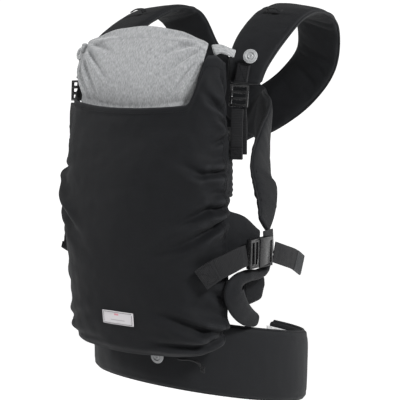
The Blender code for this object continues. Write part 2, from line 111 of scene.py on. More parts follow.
def light_scene():
    world = bpy.data.worlds.new("studio")
    world.use_nodes = True
    tree = world.node_tree
    background = tree.nodes["Background"]
    background.inputs["Color"].default_value = (1.0, 1.0, 1.0, 1.0)
    seen = tree.nodes.new("ShaderNodeLightPath")
    strength = tree.nodes.new("ShaderNodeMapRange")
    strength.inputs["To Min"].default_value = WORLD_LIGHT
    strength.inputs["To Max"].default_value = WORLD_SEEN
    tree.links.new(seen.outputs["Is Camera Ray"], strength.inputs["Value"])
    tree.links.new(strength.outputs["Result"], background.inputs["Strength"])
    bpy.context.scene.world = world
    bpy.context.scene.view_settings.view_transform = "Standard"
    soft_light("near_side", (2.4, -0.8, 2.0), 120.0, 0.6)
    soft_light("far_side", (-2.3, -1.1, 1.6), 58.0, 0.7)
    soft_light("front", (0.2, -2.6, 1.8), 6.0, 1.0)
    soft_light("behind", (1.4, 2.2, 1.0), 20.0, 1.2)


# ---------------------------------------------------------------- the frame's own curves
BELT_HALF_X = 0.161
BELT_HALF_Y = 0.139
BELT_HEIGHT = 0.100
BELT_THICK = 0.014
BELT_RISE = 0.20                   # the ring rides up at the front by this much a metre
BELT_LEAN = 0.045                  # and hangs lower on the wearer's left by this much a metre
BELT_END = math.radians(163.0)
LINING_THICK = 0.0016
GAP = 0.0004

PANEL_THICK = 0.004
PANEL_EDGE_X = 0.134
PANEL_EDGE_Y = -0.130
PANEL_LOW = 0.030
PANEL_TOP = 0.372
PANEL_CORNER = 0.063
NEAR_RAMP = (0.53, 0.76)           # the wearer's left top corner rises between these shares of the half width
FAR_RAMP = (0.80, 0.96)            # and the right one between these
FAR_TUCK = 0.011                   # the wearer's right top corner is drawn in by this much
NEAR_TUCK = 0.004                  # and the left one by this much, clear of its ladder lock
FAR_RIM_BACK = 0.022               # the wearer's right leg rim is drawn back by this much
PANEL_HALF = 0.172                 # half the panel's width, measured along the cloth

STRAP_WIDTH = 0.074
STRAP_THICK = 0.013
NARROW_WEBBING = 0.018
SIDE_WEBBING = 0.030
WAIST_WEBBING = 0.038
WEBBING_THICK = 0.0018
FOLD_LIFT = WEBBING_THICK + 0.0006


def smoothstep(low, high, value):
    t = min(max((value - low) / (high - low), 0.0), 1.0)
    return t * t * (3 - 2 * t)


def even(count, first=0.0, last=1.0):
    """count even steps from first to last, both ends included."""
    return [first + (last - first) * k / count for k in range(count + 1)]


def path_length(points):
    return sum((b - a).length for a, b in zip(points, points[1:]))


def ring_point(angle, out, up):
    x = (BELT_HALF_X + out) * math.sin(angle)
    y = -(BELT_HALF_Y + out) * math.cos(angle)
    return Vector((x, y, up - BELT_RISE * y - BELT_LEAN * x))


def ring_normal(angle):
    return Vector((math.sin(angle) / BELT_HALF_X, -math.cos(angle) / BELT_HALF_Y, 0.0)).normalized()


def panel_point(across, height, lift=0.0):
    wide = abs(across)
    belly = math.sin(math.pi * (0.12 + 0.76 * height)) ** 0.7
    top = PANEL_TOP + 0.020 * min(wide, 0.66) ** 2
    inner, outer = FAR_RAMP if across < 0 else NEAR_RAMP
    top += PANEL_CORNER * smoothstep(inner, outer, wide) - 0.010 * max(wide - 0.84, 0.0) / 0.16
    low = PANEL_LOW + 0.028 * wide ** 4
    z = low + (PANEL_TOP - low) * height + (top - PANEL_TOP) * height ** 5
    edge_x = PANEL_EDGE_X * (0.92 + 0.08 * belly) + lift
    edge_y = PANEL_EDGE_Y - 0.006 * math.sin(math.pi * height)
    reach = 0.062 + 0.024 * belly
    full = math.radians(84.0)
    turn = full * across
    x = edge_x * math.sin(turn) / math.sin(full)
    if across < 0:
        x += FAR_TUCK * smoothstep(0.55, 0.90, wide) * smoothstep(0.80, 0.97, height)
    else:
        x -= NEAR_TUCK * smoothstep(0.80, 1.00, wide) * smoothstep(0.75, 0.90, height)
    y = edge_y - reach * (math.cos(turn) ** 0.85 - math.cos(full) ** 0.85) - lift
    return Vector((x, y, z))


def hood_point(across, height):
    full = math.sin(math.pi * max(height, 0.0))
    x = (0.090 + 0.012 * height + 0.005 * full) * across
    y = -0.1795 + 0.020 * across ** 2 + 0.042 * height - 0.020 * (across * height) ** 2 - 0.014 * full
    z = 0.3740 + 0.012 * across ** 2 + 0.109 * height - 0.036 * height * across ** 2
    x -= 0.006 * smoothstep(0.7, 1.0, -across) * smoothstep(0.9, 0.3, height)
    return Vector((x, y, z))


def catmull(values, t):
    last = len(values) - 1
    place_on = min(max(t, 0.0), 1.0) * last
    index = min(int(place_on), last - 1)
    f = place_on - index
    p1 = values[index]
    p2 = values[index + 1]
    p0 = values[index - 1] if index > 0 else p1 * 2 - p2
    p3 = values[index + 2] if index + 2 <= last else p2 * 2 - p1
    return 0.5 * (2 * p1 + (p2 - p0) * f + (2 * p0 - 5 * p1 + 4 * p2 - p3) * f * f
                  + (3 * p1 - p0 - 3 * p2 + p3) * f * f * f)


def mirrored(vector, side):
    return Vector((vector[0] * side, vector[1], vector[2]))


def frame_at(position, along, normal):
    x_axis = Vector(along).normalized()
    z_axis = Vector(normal)
    z_axis = (z_axis - x_axis * z_axis.dot(x_axis)).normalized()
    y_axis = z_axis.cross(x_axis)
    matrix = Matrix((x_axis, y_axis, z_axis)).transposed().to_4x4()
    matrix.translation = Vector(position)
    return matrix


class Route:
    """A band's path: smooth centre, normal, width and thickness along given stations."""

    def __init__(self, stations, side=1, lift=0.0):
        self.centres = [Vector(station[0]) for station in stations]
        self.normals = [Vector(station[1]).normalized() for station in stations]
        self.sizes = [Vector((station[2], station[3], 0.0)) for station in stations]
        self.side = side
        self.lift = lift

    def at(self, t):
        """Centre, direction across, outward normal, width and thickness at t, 0 to 1."""
        centre = catmull(self.centres, t)
        ahead = catmull(self.centres, min(t + 0.01, 1.0)) - catmull(self.centres, max(t - 0.01, 0.0))
        tangent = ahead.normalized()
        normal = catmull(self.normals, t)
        normal = (normal - tangent * normal.dot(tangent)).normalized()
        size = catmull(self.sizes, t)
        return centre + normal * self.lift, tangent.cross(normal), normal, size.x, size.y

    def point(self, t, wide, out):
        """Point at wide (-1 to 1) of the half width and out metres above the middle plane."""
        centre, across, normal, width, _ = self.at(t)
        return mirrored(centre + across * (wide * width / 2) + normal * out, self.side)

    def face(self, t, wide, above=0.0):
        """Point above the outer face, at wide of the half width."""
        centre, across, normal, width, thick = self.at(t)
        crown = (1 - abs(wide) ** 3.5) ** 0.5
        spot = centre + across * (wide * width / 2) + normal * (thick / 2 * crown + above)
        return mirrored(spot, self.side)

    def length(self, first=0.0, last=1.0, steps=60):
        return path_length([catmull(self.centres, t) for t in even(steps, first, last)])


# ---------------------------------------------------------------- finishes
class Paint:
    """Grows one material's node tree."""

    def __init__(self, name, colour, roughness):
        self.material = bpy.data.materials.new(name)
        self.material.use_nodes = True
        self.tree = self.material.node_tree
        self.shader = self.tree.nodes["Principled BSDF"]
        self.shader.inputs["Base Color"].default_value = (*colour, 1.0)
        self.shader.inputs["Roughness"].default_value = roughness

    def add(self, kind, inputs=None, **settings):
        node = self.tree.nodes.new("ShaderNode" + kind)
        for key, value in settings.items():
            setattr(node, key, value)
        for key, value in (inputs or {}).items():
            if isinstance(value, bpy.types.NodeSocket):
                self.tree.links.new(value, node.inputs[key])
            else:
                node.inputs[key].default_value = value
        return node

    def where(self, kind):
        return self.add("TexCoord").outputs[kind]

    def gloss(self, sheen, specular):
        self.shader.inputs["Sheen Weight"].default_value = sheen
        self.shader.inputs["Specular IOR Level"].default_value = specular

    def feed(self, key, source):
        self.tree.links.new(source, self.shader.inputs[key])

    def ramp(self, value, low, high, to_low=0.0, to_high=1.0):
        node = self.add("MapRange", {"Value": value, "From Min": low, "From Max": high,
                                     "To Min": to_low, "To Max": to_high})
        return node.outputs["Result"]

    def mix(self, factor, first, second):
        node = self.add("Mix", data_type="RGBA")
        for key, value in ((0, factor), (6, first), (7, second)):
            if isinstance(value, bpy.types.NodeSocket):
                self.tree.links.new(value, node.inputs[key])
            elif key == 0:
                node.inputs[key].default_value = value
            else:
                node.inputs[key].default_value = (*value, 1.0)
        return node.outputs[2]

    def noise(self, where, size, detail=3.0):
        node = self.add("TexNoise", {"Vector": where, "Scale": 1.0 / size, "Detail": detail})
        return node.outputs["Fac"]

    def wave(self, where, pitch, axis="X", distortion=0.0):
        """Ridges one pitch apart across an axis, from 0 to 1."""
        node = self.add("TexWave", {"Vector": where, "Scale": 2 * math.pi / (20 * pitch),
                                    "Distortion": distortion}, bands_direction=axis)
        return node.outputs["Fac"]

    def multiply(self, first, second):
        return self.add("Math", {0: first, 1: second}, operation="MULTIPLY").outputs[0]

    def plus(self, first, second):
        return self.add("Math", {0: first, 1: second}, operation="ADD").outputs[0]

    def stripe(self, value, low, high, soft=0.0002):
        """1 between low and high, fading out over soft."""
        return self.multiply(self.ramp(value, low - soft, low), self.ramp(value, high + soft, high))

    def bump(self, layers):
        """Stack of (height, metres) layers, fed to the shader's normal."""
        normal = None
        for height, distance in layers:
            inputs = {"Height": height, "Distance": distance, "Strength": 1.0}
            if normal is not None:
                inputs["Normal"] = normal
            normal = self.add("Bump", inputs).outputs["Normal"]
        self.feed("Normal", normal)


def cloth_finish(name, dark, light, pitch, tilt, roughness, sheen, depth=0.00006, coords="UV", crumple=0.0004,
                 wear=0.45):
    """Woven cloth: fine yarns at a slant, uneven dye, soft creases and paler worn ridges."""
    paint = Paint(name, dark, roughness)
    where = paint.where(coords)
    turned = paint.add("Mapping", {"Vector": where, "Rotation": (0.0, 0.0, tilt)}).outputs["Vector"]
    yarns = paint.multiply(paint.wave(turned, pitch, "X", 0.6), paint.wave(turned, pitch * 0.5, "Y"))
    blotch = paint.noise(where, 0.018, 4.0)
    slub = paint.noise(where, 0.0022, 2.0)
    shade = paint.plus(paint.multiply(yarns, 0.35), paint.multiply(blotch, slub))
    body = paint.mix(paint.ramp(shade, 0.1, 0.75), dark, light)
    ridge = paint.add("NewGeometry").outputs["Pointiness"]
    worn = tuple(min(value * 2.2 + 0.01, 1.0) for value in light)
    paint.feed("Base Color", paint.mix(paint.ramp(ridge, 0.515, 0.60, 0.0, wear), body, worn))
    paint.feed("Roughness", paint.ramp(blotch, 0.3, 0.7, roughness - 0.05, roughness + 0.05))
    paint.gloss(sheen, 0.13)
    paint.shader.inputs["Sheen Roughness"].default_value = 0.45
    paint.bump(((paint.noise(where, 0.011, 3.0), crumple), (yarns, depth)))
    return paint.material


def melange_finish(name, dark, light):
    """Knitted jersey of mixed dark and light yarns."""
    paint = Paint(name, light, 0.92)
    where = paint.where("UV")
    stretched = paint.add("Mapping", {"Vector": where, "Scale": (1.0, 0.32, 1.0)}).outputs["Vector"]
    heather = paint.noise(stretched, 0.0016, 3.0)
    cloud = paint.noise(where, 0.009, 2.0)
    ribs = paint.wave(where, 0.0011, "X", 0.8)
    rows = paint.wave(where, 0.0009, "Y", 0.8)
    knit = paint.multiply(ribs, rows)
    mixed = paint.plus(paint.multiply(heather, 0.85), paint.multiply(cloud, 0.25))
    paint.feed("Base Color", paint.mix(paint.ramp(mixed, 0.35, 0.75), dark, light))
    paint.gloss(0.25, 0.2)
    paint.bump(((cloud, 0.0006), (knit, 0.00012), (heather, 0.00010)))
    return paint.material


def webbing_finish(name, dark, light, pitch):
    """Ribbed narrow weave: cross ribs broken by fine lengthwise yarns."""
    paint = Paint(name, dark, 0.62)
    where = paint.where("UV")
    ribs = paint.wave(where, pitch, "Y", 0.3)
    yarns = paint.wave(where, pitch * 0.6, "X", 0.3)
    height = paint.multiply(ribs, paint.ramp(yarns, 0.0, 1.0, 0.55, 1.0))
    patch = paint.noise(where, 0.006, 3.0)
    tone = paint.multiply(height, paint.ramp(patch, 0.3, 0.7, 0.6, 1.0))
    paint.feed("Base Color", paint.mix(tone, dark, light))
    paint.feed("Roughness", paint.ramp(patch, 0.3, 0.7, 0.55, 0.72))
    paint.gloss(0.04, 0.2)
    paint.bump(((height, 0.00022),))
    return paint.material


def plastic_finish(name, colour, roughness, grain=0.00003):
    """Moulded nylon: satin gloss, faint flow marks, dull scuffed edges."""
    paint = Paint(name, colour, roughness)
    where = paint.where("Object")
    flow = paint.noise(where, 0.006, 3.0)
    pores = paint.noise(where, 0.0006, 2.0)
    ridge = paint.add("NewGeometry").outputs["Pointiness"]
    edge = paint.ramp(ridge, 0.53, 0.64)
    scuffed = tuple(min(value * 1.6 + 0.012, 1.0) for value in colour)
    paint.feed("Base Color", paint.mix(paint.multiply(edge, flow), colour, scuffed))
    paint.feed("Roughness", paint.ramp(flow, 0.3, 0.7, roughness - 0.06, roughness + 0.10))
    paint.bump(((flow, 0.00008), (pores, grain)))
    return paint.material


def lining_finish(name):
    """Pale spacer lining with a grid of small knitted cells."""
    paint = Paint(name, (0.62, 0.62, 0.62), 0.9)
    where = paint.where("UV")
    cells = paint.add("TexVoronoi", {"Vector": where, "Scale": 420.0, "Randomness": 0.25}).outputs["Distance"]
    holes = paint.ramp(cells, 0.15, 0.55)
    paint.feed("Base Color", paint.mix(holes, (0.42, 0.42, 0.43), (0.70, 0.70, 0.70)))
    paint.bump(((holes, 0.0002),))
    return paint.material


def label_finish(name):
    """Satin woven patch with a stitched border and two plain bars, without any mark."""
    paint = Paint(name, (0.46, 0.45, 0.46), 0.55)
    where = paint.where("UV")
    parts = paint.add("SeparateXYZ", {"Vector": where}).outputs
    satin = paint.multiply(paint.wave(where, 0.0007, "Y"), paint.wave(where, 0.0005, "X"))
    cloth = paint.mix(satin, (0.46, 0.445, 0.46), (0.56, 0.545, 0.56))
    for low, high, left, right, colour in ((0.0038, 0.0062, -0.0050, 0.0015, (0.50, 0.20, 0.24)),
                                           (-0.0034, -0.0024, -0.0105, 0.0105, (0.30, 0.29, 0.30))):
        band = paint.stripe(parts["Y"], low, high)
        bar = paint.stripe(parts["X"], left, right)
        cloth = paint.mix(paint.multiply(band, bar), cloth, colour)
    paint.feed("Base Color", cloth)
    paint.bump(((satin, 0.00006),))
    return paint.material


def plain_floor():
    paint = Paint("floor", (0.93, 0.93, 0.93), 0.95)
    where = paint.where("Object")
    paint.feed("Base Color", paint.mix(paint.noise(where, 0.8, 2.0), (0.92, 0.92, 0.92), (0.94, 0.94, 0.94)))
    paint.shader.inputs["Emission Color"].default_value = (1.0, 1.0, 1.0, 1.0)
    away = paint.add("VectorMath", {0: where}, operation="LENGTH").outputs["Value"]
    paint.feed("Emission Strength", paint.ramp(away, 1.0, 6.0, NEAR_FLOOR_GLOW, FLOOR_GLOW))
    mesh = bpy.data.meshes.new("floor")
    half = FLOOR_SIZE / 2
    corners = [(-half, -half, 0.0), (half, -half, 0.0), (half, half, 0.0), (-half, half, 0.0)]
    mesh.from_pydata(corners, [], [(0, 1, 2, 3)])
    mesh.materials.append(paint.material)
    floor = bpy.data.objects.new("floor", mesh)
    floor.location = (0.0, 0.0, CAD_BOX[0][2] - FLOOR_DROP)
    bpy.context.scene.collection.objects.link(floor)


BLACK_DARK = (0.0030, 0.0033, 0.0040)
BLACK_LIGHT = (0.0092, 0.0098, 0.0114)
THREAD_DARK = (0.003, 0.003, 0.0035)
FINISHES = {
    "twill": cloth_finish("black_twill_cloth", BLACK_DARK, BLACK_LIGHT, 0.0010, 0.95, 0.72, 0.03),
    "padding": cloth_finish("black_padded_cloth", BLACK_DARK, BLACK_LIGHT, 0.0012, 0.80, 0.74, 0.03,
                            crumple=0.0006),
    "belt": cloth_finish("black_belt_cloth", (0.0060, 0.0064, 0.0073), (0.0135, 0.0143, 0.0158), 0.0014, 0.0,
                         0.76, 0.04, crumple=0.0002),
    "binding": cloth_finish("black_binding_tape", (0.0045, 0.0048, 0.0056), (0.0120, 0.0126, 0.0142), 0.0008,
                            0.0, 0.66, 0.03, coords="Object", crumple=0.0001, wear=0.05),
    "jersey": melange_finish("grey_melange_jersey", (0.165, 0.170, 0.175), (0.330, 0.335, 0.340)),
    "webbing": webbing_finish("black_ribbed_webbing", (0.0026, 0.0026, 0.0032), (0.0110, 0.0115, 0.0130),
                              0.0022),
    "webbing_end": webbing_finish("grey_webbing_end", (0.014, 0.015, 0.016), (0.050, 0.052, 0.055), 0.0022),
    "plastic": plastic_finish("black_moulded_plastic", (0.0045, 0.0045, 0.0050), 0.22),
    "button": plastic_finish("grey_button_plastic", (0.235, 0.240, 0.245), 0.40),
    "lining": lining_finish("pale_spacer_lining"),
    "label": label_finish("woven_label_satin"),
    "thread": cloth_finish("black_sewing_thread", THREAD_DARK, (0.010, 0.010, 0.012), 0.0005, 0.6,
                           0.6, 0.03, coords="Object", crumple=0.0, wear=0.05),
    "cord": webbing_finish("black_braided_cord", THREAD_DARK, (0.012, 0.0125, 0.014), 0.0012),
}


# ---------------------------------------------------------------- mesh makers
def make_piece(name, points, faces, corners, finish, body="carrier", replaced=()):
    """Mesh object with UVs in metres, riding on a body and standing for the CAD nodes replaced."""
    mesh = bpy.data.meshes.new(name)
    mesh.from_pydata([tuple(point) for point in points], [], faces)
    flat = [number for corner in corners for pair in corner for number in pair]
    mesh.uv_layers.new(name="cloth").data.foreach_set("uv", flat)
    bm = bmesh.new()
    bm.from_mesh(mesh)
    bmesh.ops.recalc_face_normals(bm, faces=bm.faces)
    bm.to_mesh(mesh)
    bm.free()
    mesh.shade_smooth()
    mesh.materials.append(FINISHES[finish])
    thing = bpy.data.objects.new(name, mesh)
    bpy.context.scene.collection.objects.link(thing)
    if body:
        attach(thing, body)
    if replaced:
        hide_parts(*replaced)
    return thing


def skin_data(rings, points, faces, corners):
    """Adds a closed tube through rings of points to a mesh's lists, with fans at both ends."""
    start = len(points)
    count = len(rings[0])
    middles = [sum(ring, Vector()) / count for ring in rings]
    along = [0.0]
    for first, second in zip(middles, middles[1:]):
        along.append(along[-1] + (second - first).length)
    widest = max(rings, key=path_length)
    girth = [0.0]
    for index in range(count):
        girth.append(girth[-1] + (widest[(index + 1) % count] - widest[index]).length)
    for ring in rings:
        points.extend(ring)
    for row in range(len(rings) - 1):
        low = start + row * count
        for index in range(count):
            after = (index + 1) % count
            faces.append((low + index, low + after, low + count + after, low + count + index))
            corners.append(((girth[index], along[row]), (girth[index + 1], along[row]),
                            (girth[index + 1], along[row + 1]), (girth[index], along[row + 1])))
    for row, middle in ((0, middles[0]), (len(rings) - 1, middles[-1])):
        hub = len(points)
        points.append(middle)
        for index in range(count):
            after = (index + 1) % count
            faces.append((start + row * count + index, start + row * count + after, hub))
            corners.append(((girth[index], along[row]), (girth[index + 1], along[row]),
                            (girth[index], along[row])))


def skin(name, bundles, finish, body="carrier", replaced=()):
    """One mesh of one or more closed tubes, each given as rings of points."""
    points, faces, corners = [], [], []
    for rings in bundles:
        skin_data(rings, points, faces, corners)
    return make_piece(name, points, faces, corners, finish, body, replaced)


def outline(count, squareness):
    points = []
    for step in range(count):
        angle = 2 * math.pi * (step + 0.5) / count
        wide = math.copysign(abs(math.cos(angle)) ** squareness, math.cos(angle))
        thick = math.copysign(abs(math.sin(angle)) ** squareness, math.sin(angle))
        points.append((wide, thick))
    return points


def band_rings(route, steps, section, span=(0.0, 1.0), end_round=0.0, relief=None):
    """Rings of a band. relief(along, wide, face) lifts a point outwards, along in metres."""
    first, last = span
    total = route.length(first, last)
    stops = []
    share = min(end_round / total, 0.3) if end_round else 0.0
    rounds = [(share * (1 - math.cos(math.radians(a))), math.sin(math.radians(a))) for a in (20, 42, 66)]
    if share:
        stops += [(spot, scale) for spot, scale in rounds]
    for step in range(steps + 1):
        stops.append((share + (1 - 2 * share) * step / steps, 1.0))
    if share:
        stops += [(1.0 - spot, scale) for spot, scale in reversed(rounds)]
    rings = []
    for spot, scale in stops:
        centre, across, normal, width, thick = route.at(first + (last - first) * spot)
        narrow = (width - thick * (1 - scale)) / 2
        ring = []
        for wide, face in section:
            outward = across * wide * 0.3 + normal * face
            lift = relief(spot * total, wide, face) * scale if relief else 0.0
            spot_at = centre + across * (wide * narrow) + normal * (face * thick * scale / 2)
            ring.append(mirrored(spot_at + outward * lift, route.side))
        rings.append(ring)
    return rings


def tube_rings(points, radius, sides=8, up=Vector((0, 0, 1))):
    """Rings of a round tube along points, with rounded ends."""
    points = [Vector(point) for point in points]
    ends = [(points[0] + (points[0] - points[1]).normalized() * radius * 0.6, 0.45)]
    ends += [(point, 1.0) for point in points]
    ends.append((points[-1] + (points[-1] - points[-2]).normalized() * radius * 0.6, 0.45))
    rings = []
    normal = up
    for index, (point, scale) in enumerate(ends):
        before = ends[max(index - 1, 0)][0]
        after = ends[min(index + 1, len(ends) - 1)][0]
        tangent = (after - before).normalized()
        normal = normal - tangent * normal.dot(tangent)
        if normal.length < 1e-6:
            normal = tangent.orthogonal()
        normal.normalize()
        across = tangent.cross(normal)
        ring = []
        for step in range(sides):
            angle = 2 * math.pi * step / sides
            ring.append(point + (across * math.cos(angle) + normal * math.sin(angle)) * radius * scale)
        rings.append(ring)
    return rings


def walk(line, spacing):
    """Points at even spacing along a line of points."""
    found = [line[0].copy()]
    left = spacing
    for first, second in zip(line, line[1:]):
        gap = (second - first).length
        done = 0.0
        while gap - done >= left:
            done += left
            found.append(first.lerp(second, done / gap))
            left = spacing
        left -= gap - done
    return found


def stitches(name, lines, body="carrier", pitch=0.0034, thread=0.00042, finish="thread"):
    """Rows of short thread stitches that follow the lines."""
    bundles = []
    for line in lines:
        spots = walk(line, pitch / 4)
        for index in range(0, len(spots) - 3, 4):
            bundles.append(tube_rings(spots[index:index + 4], thread, 5))
    return skin(name, bundles, finish, body)


def shell(name, function, columns, rows, thick, size, finish, body="carrier", replaced=(),
          crowd=0.0):
    """Closed sheet on function(across, height); crowd packs its columns towards the side edges."""
    points, faces, corners = [], [], []
    spans = [s * (1 + crowd - crowd * s * s) for s in even(columns, -1.0, 1.0)]
    heights = even(rows)
    front = [[function(a, h) for a in spans] for h in heights]
    inward = []
    for r in range(rows + 1):
        line = []
        for c in range(columns + 1):
            du = front[r][min(c + 1, columns)] - front[r][max(c - 1, 0)]
            dv = front[min(r + 1, rows)][c] - front[max(r - 1, 0)][c]
            line.append(-du.cross(dv).normalized() * thick)
        inward.append(line)
    wide = columns + 1
    for row in front:
        points.extend(row)
    for r in range(rows + 1):
        points.extend(front[r][c] + inward[r][c] for c in range(wide))
    behind = wide * (rows + 1)
    width, length = size

    def uv(index):
        index %= behind
        return (spans[index % wide] * width / 2, heights[index // wide] * length - length / 2)

    for r in range(rows):
        for c in range(columns):
            low = r * wide + c
            faces.append((low, low + 1, low + wide + 1, low + wide))
            faces.append((behind + low, behind + low + wide, behind + low + wide + 1, behind + low + 1))
    rim = list(range(columns)) + [r * wide + columns for r in range(rows)]
    rim += [rows * wide + c for c in range(columns, 0, -1)] + [r * wide for r in range(rows, 0, -1)]
    edge = len(points)
    for index in rim:
        r, c = divmod(index, wide)
        inner = front[min(max(r, 1), rows - 1)][min(max(c, 1), columns - 1)]
        outward = (front[r][c] - inner).normalized()
        points.append(front[r][c] + inward[r][c] * 0.5 + outward * thick * 0.35)
    for k, index in enumerate(rim):
        after = (k + 1) % len(rim)
        faces.append((index, edge + k, edge + after, rim[after]))
        faces.append((edge + k, behind + index, behind + rim[after], edge + after))
    for face in faces:
        spots = [rim[i - edge] if i >= edge else i for i in face]
        corners.append([uv(i) for i in spots])
    return make_piece(name, points, faces, corners, finish, body, replaced)


CLOTH_SETTINGS = {"use_pressure": True, "quality": 5, "mass": 0.2, "tension_stiffness": 12.0,
                  "compression_stiffness": 12.0, "shear_stiffness": 6.0, "bending_stiffness": 0.3}


def settle(thing, frames, pressure, cap):
    """Lets a closed piece swell and pucker as sewn cloth, and keeps the shape, cap metres off at most."""
    start = [vertex.co.copy() for vertex in thing.data.vertices]
    cloth = thing.modifiers.new("cloth", "CLOTH")
    cloth.settings.effector_weights.gravity = 0.0
    for key, value in CLOTH_SETTINGS.items():
        setattr(cloth.settings, key, value)
    cloth.settings.uniform_pressure_force = pressure
    cloth.point_cache.frame_start = 1
    cloth.point_cache.frame_end = frames
    scene = bpy.context.scene
    for number in range(1, frames + 1):
        scene.frame_set(number)
    settled = thing.evaluated_get(bpy.context.evaluated_depsgraph_get()).data
    ends = [vertex.co.copy() for vertex in settled.vertices]
    thing.modifiers.remove(cloth)
    scene.frame_set(1)
    for vertex, before, after in zip(thing.data.vertices, start, ends):
        shift = after - before
        if shift.length > cap:
            shift = shift.normalized() * cap
        vertex.co = before + shift
    thing.data.update()


def ripple(point, seed, size):
    """Smooth noise from -1 to 1 on a point, with features of the given size."""
    return noise.noise(Vector(point) / size + Vector((seed, seed * 0.37, seed * 0.71)))


# ---------------------------------------------------------------- drawcord
CORD_ROUTE = [(0.0740, -0.1690, 0.0270), (0.0790, -0.1660, 0.0262), (0.0840, -0.1620, 0.0262),
              (0.0890, -0.1570, 0.0245), (0.0940, -0.1515, 0.0210), (0.0968, -0.1487, 0.0165)]
CORD_THICK = 0.0034
CORD_STEPS = 18
KNOT_SIZE = 0.0042
KNOT_STEPS = 72


def drawcord():
    route = [Vector(point) for point in CORD_ROUTE]
    line = [catmull(route, t) for t in even(CORD_STEPS)]
    cord = skin("drawcord_braid", [tube_rings(line, CORD_THICK / 2, 12)], "cord", replaced=["drawcord"])
    low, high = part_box("drawcord_knot")
    centre = (low + high) / 2
    loops = [centre + Vector((math.sin(a) + 2 * math.sin(2 * a), -math.sin(3 * a),
                              math.cos(a) - 2 * math.cos(2 * a))) * (KNOT_SIZE / 4)
             for a in even(KNOT_STEPS, 0.0, 2 * math.pi)]
    tail = [centre + Vector((0.001 * k, 0.0, -0.0016 * k)) for k in range(4)]
    knot = skin("drawcord_overhand_knot", [tube_rings(loops, CORD_THICK * 0.42, 10),
                                           tube_rings(tail, CORD_THICK * 0.42, 10)],
                "cord", replaced=["drawcord_knot"])


# ---------------------------------------------------------------- waist belt
BELT_SEAM = 0.86                   # where the seams run, as a share of half the belt's height
BELT_STEPS = 300
LINING_SHARE = 0.84                # of the belt's height
QUILT_TURN = 0.9 * BELT_STEPS / (2 * BELT_END)


def belt_relief(angle, tall):
    spot = (angle * 0.15, tall * 0.05, 0.0)
    seam = math.exp(-((abs(tall) - BELT_SEAM) / 0.03) ** 2)
    return 0.0011 * ripple(spot, 3.0, 0.045) + 0.0004 * ripple(spot, 8.0, 0.012) - 0.0007 * seam


def belt_face(angle, tall, above=0.0):
    """Point on the belt's outer face; tall runs -1 to 1 from its lower to its upper edge."""
    crown = (1 - abs(tall) ** 5) ** 0.5
    out = ring_normal(angle) * (BELT_THICK / 2 * crown + belt_relief(angle, tall) + above)
    return ring_point(angle, 0.0, 0.0) + out + Vector((0, 0, tall * BELT_HEIGHT / 2))


def belt_rings(stops, section, out, thick, high, lift):
    """Rings of a band that follows the belt; a stop is an angle and how full the band is there."""
    rings = []
    for angle, full in stops:
        normal = ring_normal(angle)
        centre = ring_point(angle, out, 0.0)
        half = (high - BELT_THICK * (1 - full)) / 2
        rings.append([centre + normal * (thin * thick * full / 2 + lift(angle, tall, thin))
                      + Vector((0, 0, tall * half)) for tall, thin in section])
    return rings


def waist_belt():
    def puckers(angle, tall, thin):
        return belt_relief(angle, tall) if thin > 0 else 0.0

    def quilting(angle, tall, thin):
        turn = (angle + BELT_END) * QUILT_TURN
        return 0.0005 * math.sin(turn) * math.sin(tall * 12.0) if thin < 0 else 0.0

    edge = math.radians(2.4)
    ends = [(-BELT_END + edge * (1 - math.cos(math.radians(a))), math.sin(math.radians(a)))
            for a in (18, 42, 66)]
    stops = ends + [(angle, 1.0) for angle in even(BELT_STEPS, edge - BELT_END, BELT_END - edge)]
    stops += [(-angle, full) for angle, full in reversed(ends)]
    rings = belt_rings(stops, outline(48, 0.42), 0.0, BELT_THICK, BELT_HEIGHT, puckers)
    belt = skin("belt_cover", [rings], "belt", replaced=["waist_belt_pad"])

    out = -(BELT_THICK / 2 + LINING_THICK / 2 + GAP)
    high = BELT_HEIGHT * LINING_SHARE
    rings = belt_rings([(angle, 1.0) for angle in even(BELT_STEPS, -BELT_END, BELT_END)], outline(28, 0.35),
                       out, LINING_THICK, high, quilting)
    lining = skin("belt_lining_cloth", [rings], "lining", replaced=["waist_belt_lining"])

    angles = even(400, math.radians(3) - BELT_END, BELT_END - math.radians(3))
    seams = [[belt_face(angle, tall, 0.0002) for angle in angles] for tall in (BELT_SEAM, -BELT_SEAM)]
    stitches("belt_topstitching", seams)
    high = BELT_HEIGHT / 2 + 0.0006
    pipes = [[ring_point(angle, 0.0, up) for angle in angles] for up in (high, -high)]
    skin("belt_edge_binding", [tube_rings(pipe, 0.0022, up=Vector((0, -1, 0))) for pipe in pipes], "binding")


